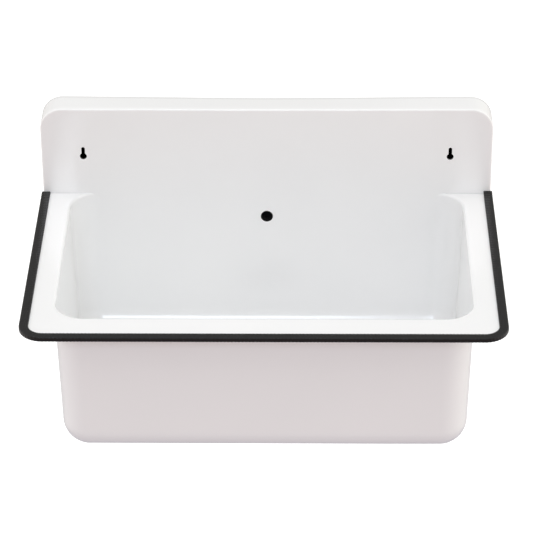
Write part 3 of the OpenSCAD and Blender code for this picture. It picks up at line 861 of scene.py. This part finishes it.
def build_outlet():
    """The waste's threaded outlet with the disc that closes the body's foot."""
    low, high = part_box("drain_outlet")
    disc_r = (high.x - low.x) / 2
    foot = high.z - OUTLET_DISC
    root = OUTLET_R - OUTLET_DEPTH
    rows = [(high.z, OUTLET_BORE_R, 0), (high.z, disc_r, 0)]
    rows += [(foot + OUTLET_EDGE, disc_r, 0), (foot, disc_r - OUTLET_EDGE, 0)]
    rows += reversed(thread_rows(low.z + OUTLET_EDGE, foot, OUTLET_R, OUTLET_PITCH, OUTLET_DEPTH))
    rows += [(low.z, root - OUTLET_EDGE, 0), (low.z, OUTLET_BORE_R, 0)]
    obj = turned("drain_outlet_thread", rows, OUTLET_PITCH, OUTLET_SIDES)
    obj.location = (0, DRAIN_Y, 0)
    return obj


def build_studs():
    """The two threaded studs that hold the overflow fitting to the back of the bowl."""
    core = STUD_R - STUD_DEPTH
    end = SHEET + STUD_L
    rows = [(SHEET, 0.0, 0), (SHEET, core, 0)]
    rows += thread_rows(SHEET, end - STUD_EDGE, STUD_R, STUD_PITCH, STUD_DEPTH)
    rows += [(end, core - STUD_EDGE, 0), (end, 0.0, 0)]
    square = Matrix.Rotation(-QUARTER - TAPER, 4, "X")
    out = []
    for name, side in SIDES.items():
        obj = turned("overflow_stud_" + name, rows, STUD_PITCH, STUD_SIDES)
        place = overflow_centre() + Vector((side * STUD_X, 0, 0))
        obj.matrix_world = Matrix.Translation(place) @ square
        out.append(obj)
    return out


def build_weld():
    """The rippled bead along the weld, behind the bowl's rear wall."""
    half = AXIS_X + BEAD_OVER
    steps = round(2 * half / BEAD_PITCH) * BEAD_STEPS
    verts = []
    rings = []
    for i in range(steps + 1):
        x = lerp(-half, half, i / steps)
        end = min(1.0, (half - abs(x)) / (2 * BEAD_R) + BEAD_END)
        r = BEAD_R * math.sqrt(end) * (1 + BEAD_RIPPLE * math.cos(2 * math.pi * x / BEAD_PITCH))
        r *= 1 + BEAD_UNEVEN * noise.noise(Vector((x, 0, 0)) / BEAD_UNEVEN_SIZE)
        forward = max(0.0, abs(x) - AXIS_X)
        y = FACE_Y + SHEET + BEAD_STAND * BEAD_R - forward * forward / (2 * BOWL_CORNER)
        around = [circle_point(2 * math.pi * k / BEAD_SIDES, r) for k in range(BEAD_SIDES)]
        add_ring(verts, rings, [Vector((x, y + p.x, WELD_Z + p.y)) for p in around])
    obj = make_object("weld_bead", verts, end_caps(rings) + skin(rings, True))
    tidy_mesh(obj, MERGE)
    smooth_shade(obj, SHARP_BEAD)
    return obj


# Nodes
def set_inputs(node, **values):
    """Sets inputs of a node; an underscore stands for a space in an input's name."""
    for key, value in values.items():
        node.inputs[key.replace("_", " ")].default_value = value


def add_node(tree, kind, **inputs):
    node = tree.nodes.new(kind)
    set_inputs(node, **inputs)
    return node


def object_noise(tree, scale, detail):
    """Noise in the object's own coordinates."""
    coords = tree.nodes.new("ShaderNodeTexCoord")
    tex = add_node(tree, "ShaderNodeTexNoise", Scale=scale, Detail=detail)
    tree.links.new(coords.outputs["Object"], tex.inputs["Vector"])
    return tex.outputs["Fac"]


def mixed(tree, factor, first, second):
    """A colour between two others; each is a colour or a socket."""
    node = tree.nodes.new("ShaderNodeMixRGB")
    tree.links.new(factor, node.inputs["Fac"])
    for name, value in (("Color1", first), ("Color2", second)):
        if isinstance(value, tuple):
            node.inputs[name].default_value = (*value, 1)
        else:
            tree.links.new(value, node.inputs[name])
    return node.outputs["Color"]


def soft_step(tree, value, low, high):
    """A share that goes softly from 0 to 1 between two values."""
    node = add_node(tree, "ShaderNodeMapRange", From_Min=low, From_Max=high)
    node.interpolation_type = "SMOOTHSTEP"
    tree.links.new(value, node.inputs["Value"])
    return node.outputs["Result"]


def maths(tree, operation, *values):
    """The result of a sum on values, each of which is a number or a socket."""
    node = tree.nodes.new("ShaderNodeMath")
    node.operation = operation
    for i, value in enumerate(values):
        if isinstance(value, (int, float)):
            node.inputs[i].default_value = value
        else:
            tree.links.new(value, node.inputs[i])
    return node.outputs["Value"]


# Materials
def new_material(name):
    """A new material, its node tree and its principled shader."""
    mat = bpy.data.materials.new(name)
    mat.use_nodes = True
    return mat, mat.node_tree, mat.node_tree.nodes["Principled BSDF"]


def two_tone(tree, shader, factor, dark, light):
    """Colours the surface between two tones by a factor."""
    ramp = tree.nodes.new("ShaderNodeValToRGB")
    stops = ((TONE_FROM, dark), (TONE_TO, light))
    for element, (position, tone) in zip(ramp.color_ramp.elements, stops):
        element.position = position
        element.color = (*tone, 1)
    tree.links.new(factor, ramp.inputs["Fac"])
    tree.links.new(ramp.outputs["Color"], shader.inputs["Base Color"])
    return ramp.outputs["Color"]


def vary_roughness(tree, shader, factor, low, high):
    span = add_node(tree, "ShaderNodeMapRange", To_Min=low, To_Max=high)
    tree.links.new(factor, span.inputs["Value"])
    tree.links.new(span.outputs["Result"], shader.inputs["Roughness"])


def bump(tree, shader, height, distance, strength, below=None):
    """Bumps the surface, on top of the bumps below."""
    node = add_node(tree, "ShaderNodeBump", Strength=strength, Distance=distance)
    tree.links.new(height, node.inputs["Height"])
    if below is not None:
        tree.links.new(below, node.inputs["Normal"])
    tree.links.new(node.outputs["Normal"], shader.inputs["Normal"])
    return node.outputs["Normal"]


def enamel_material():
    """Fired white enamel, glossy with a trace of orange peel; the walls inside its holes get
    near-black painted shade.
    """
    mat, tree, shader = new_material("white_enamel")
    white = two_tone(tree, shader, object_noise(tree, *ENAMEL_CLOUDS), *ENAMEL_TONES)
    mark = tree.nodes.new("ShaderNodeAttribute")
    mark.attribute_name = "painted_hole_shade"
    # Near-black painted shade on the faces marked inside the holes
    hole_shaded = mixed(tree, mark.outputs["Fac"], white, HOLE_SHADE_PAINT)
    tree.links.new(hole_shaded, shader.inputs["Base Color"])
    peel = object_noise(tree, *ENAMEL_PEEL)
    vary_roughness(tree, shader, peel, *ENAMEL_ROUGH)
    bump(tree, shader, peel, *ENAMEL_BUMP)
    set_inputs(shader, IOR=1.5, Specular_IOR_Level=0.8, Coat_Weight=1.0, Coat_Roughness=0.15)
    return mat


def trim_material():
    """Near-black soft plastic with a fine leather grain."""
    mat, tree, shader = new_material("trim_plastic")
    two_tone(tree, shader, object_noise(tree, *TRIM_CLOUDS), *TRIM_TONES)
    coords = tree.nodes.new("ShaderNodeTexCoord")
    grain = add_node(tree, "ShaderNodeTexVoronoi", Scale=TRIM_CRACK_SCALE, Randomness=1.0)
    grain.feature = "DISTANCE_TO_EDGE"
    tree.links.new(coords.outputs["Object"], grain.inputs["Vector"])
    cracks = bump(tree, shader, grain.outputs["Distance"], *TRIM_CRACK_BUMP)
    fine = object_noise(tree, *TRIM_FINE)
    bump(tree, shader, fine, *TRIM_FINE_BUMP, cracks)
    vary_roughness(tree, shader, fine, *TRIM_ROUGH)
    set_inputs(shader, Specular_IOR_Level=0.34)
    return mat


def metal_material(name, dark, light, rough_low, rough_high):
    """Bare metal with fine wear in tone and gloss."""
    mat, tree, shader = new_material(name)
    set_inputs(shader, Metallic=1.0)
    wear = object_noise(tree, *METAL_WEAR)
    two_tone(tree, shader, wear, dark, light)
    vary_roughness(tree, shader, wear, rough_low, rough_high)
    bump(tree, shader, wear, *METAL_BUMP)
    return mat


def moulded_material(name, dark, light, rough_low, rough_high):
    """Rubber or moulded plastic with a fine surface grain."""
    mat, tree, shader = new_material(name)
    two_tone(tree, shader, object_noise(tree, *MOULD_CLOUDS), dark, light)
    grain = object_noise(tree, *MOULD_GRAIN)
    vary_roughness(tree, shader, grain, rough_low, rough_high)
    bump(tree, shader, grain, *MOULD_BUMP)
    return mat


def slot_materials():
    """A material for each slot that the record names."""
    out = {"enamel": enamel_material(), "trim_plastic": trim_material()}
    for name, look in METALS.items():
        out[name] = metal_material(name, *look)
    for name, look in MOULDED.items():
        out[name] = moulded_material(name, *look)
    return out


def dress(obj, mat):
    """Gives the object one material."""
    obj.data.materials.clear()
    obj.data.materials.append(mat)


# Studio
def place_camera():
    """A camera where the photograph's stood."""
    level = math.cos(CAMERA_ELEVATION)
    back = Vector((math.sin(CAMERA_TURN) * level, -math.cos(CAMERA_TURN) * level,
                   math.sin(CAMERA_ELEVATION)))
    right = (-back).cross(Vector((0, 0, 1))).normalized()
    up = right.cross(-back)
    rolled_right = right * math.cos(CAMERA_ROLL) + up * math.sin(CAMERA_ROLL)
    rolled_up = up * math.cos(CAMERA_ROLL) - right * math.sin(CAMERA_ROLL)
    data = bpy.data.cameras.new("camera")
    data.sensor_width = SENSOR
    data.lens = SENSOR * FOCAL_PX / PHOTO_PX
    data.clip_start = CLIP_NEAR
    data.clip_end = CLIP_FAR
    camera = add_object("camera", data)
    axes = Matrix((rolled_right, rolled_up, back)).transposed().to_4x4()
    camera.matrix_world = Matrix.Translation(CAMERA_AIM + back * CAMERA_DISTANCE) @ axes
    bpy.context.scene.camera = camera
    return camera


def studio_world():
    """A white room that differs a little by direction."""
    world = bpy.data.worlds.new("studio")
    world.use_nodes = True
    tree = world.node_tree
    coords = tree.nodes.new("ShaderNodeTexCoord")
    split = tree.nodes.new("ShaderNodeSeparateXYZ")
    tree.links.new(coords.outputs["Generated"], split.inputs["Vector"])
    x, y, z = (split.outputs[name] for name in "XYZ")
    x2 = maths(tree, "MULTIPLY", x, x)
    flat = maths(tree, "ADD", x2, maths(tree, "MULTIPLY", y, y))
    beside = maths(tree, "DIVIDE", x2, maths(tree, "MAXIMUM", flat, LEAST_FLAT))
    behind = soft_step(tree, y, *TURN_BAND)
    rightwards = soft_step(tree, x, *TURN_BAND)
    bands = []
    for level in ("low", "high"):
        along = mixed(tree, behind, ROOM["front_" + level], ROOM["back_" + level])
        across = mixed(tree, rightwards, ROOM["left_" + level], ROOM["right_" + level])
        bands.append(mixed(tree, beside, along, across))
    low = mixed(tree, soft_step(tree, z, *BOTTOM_BAND), bands[0], ROOM["bottom"])
    walls = mixed(tree, soft_step(tree, z, *WALL_BAND), low, bands[1])
    room = mixed(tree, soft_step(tree, z, *TOP_BAND), walls, ROOM["top"])
    path = tree.nodes.new("ShaderNodeLightPath")
    seen = mixed(tree, path.outputs["Is Camera Ray"], room, BACKGROUND)
    tree.links.new(seen, tree.nodes["Background"].inputs["Color"])
    bpy.context.scene.world = world


def key_light():
    """The rectangular light whose reflection runs along the foot of the rear wall."""
    data = bpy.data.lights.new("key_box", "AREA")
    data.shape = "RECTANGLE"
    data.size, data.size_y = KEY_SIZE
    data.energy = KEY_POWER
    data.color = KEY_COLOUR
    light = add_object("key_box", data)
    light.location = KEY_PLACE
    light.rotation_mode = "QUATERNION"
    light.rotation_quaternion = (KEY_AIM - KEY_PLACE).to_track_quat("-Z", "Y")


def studio_plane(name, middle, half_x, half_y, mat):
    """A level plane that only the camera sees."""
    corners = [middle + Vector((i * half_x, j * half_y, 0)) for i, j in SQUARE]
    plane = make_object(name, corners, [tuple(range(len(SQUARE)))])
    dress(plane, mat)
    plane.visible_diffuse = False
    plane.visible_glossy = False
    plane.visible_shadow = False
    return plane


def studio_floor():
    """A wide pale floor that glows a little."""
    mat, tree, shader = new_material("studio_floor")
    two_tone(tree, shader, object_noise(tree, *FLOOR_CLOUDS), *FLOOR_TONES)
    set_inputs(shader, Roughness=FLOOR_ROUGH, Emission_Color=(*BACKGROUND, 1),
               Emission_Strength=FLOOR_GLOW)
    floor = studio_plane("studio_floor", Vector((0, 0, FLOOR_Z)), FLOOR_HALF, FLOOR_HALF, mat)


def painted_shade_patches(camera):
    """Painted shade: black spots on the floor behind the keyholes, standing in for a wall's shade
    there.
    """
    mat, _, shader = new_material("painted_wall_shade")
    # Black with no reflection, as painted shade
    set_inputs(shader, Base_Color=(0.0, 0.0, 0.0, 1), Specular_IOR_Level=0.0)
    eye = camera.matrix_world.translation
    for name, side in SIDES.items():
        ray = keyhole_centre(side) - eye
        spot = eye + ray * ((FLOOR_Z + PATCH_LIFT - eye.z) / ray.z)
        patch = studio_plane("painted_wall_shade_" + name, spot, PATCH_HALF_X, PATCH_HALF_Y, mat)


def stand_for(obj, slot, mats, *nodes):
    """Dresses a piece, lets it ride on the sink and hides the solids that it stands for."""
    dress(obj, mats[slot])
    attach(obj, "sink")
    if nodes:
        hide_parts(*nodes)


camera = place_camera()
bpy.context.scene.view_settings.view_transform = "Standard"
studio_world()
key_light()
studio_floor()
painted_shade_patches(camera)
mats = slot_materials()
for row in frame["record"]["subparts"]:
    dress(frame["nodes"][row["node"]], mats[row["material_slot"]])
stand_for(build_bowl(), "enamel", mats, "basin")
stand_for(build_splashback(), "enamel", mats, "splashback")
stand_for(build_trim(), "trim_plastic", mats, "rim_trim")
stand_for(build_outlet(), "pipe_plastic", mats, "drain_outlet")
stand_for(build_weld(), "enamel", mats)
for stud in build_studs():
    stand_for(stud, "zinc_steel", mats, "overflow_studs")
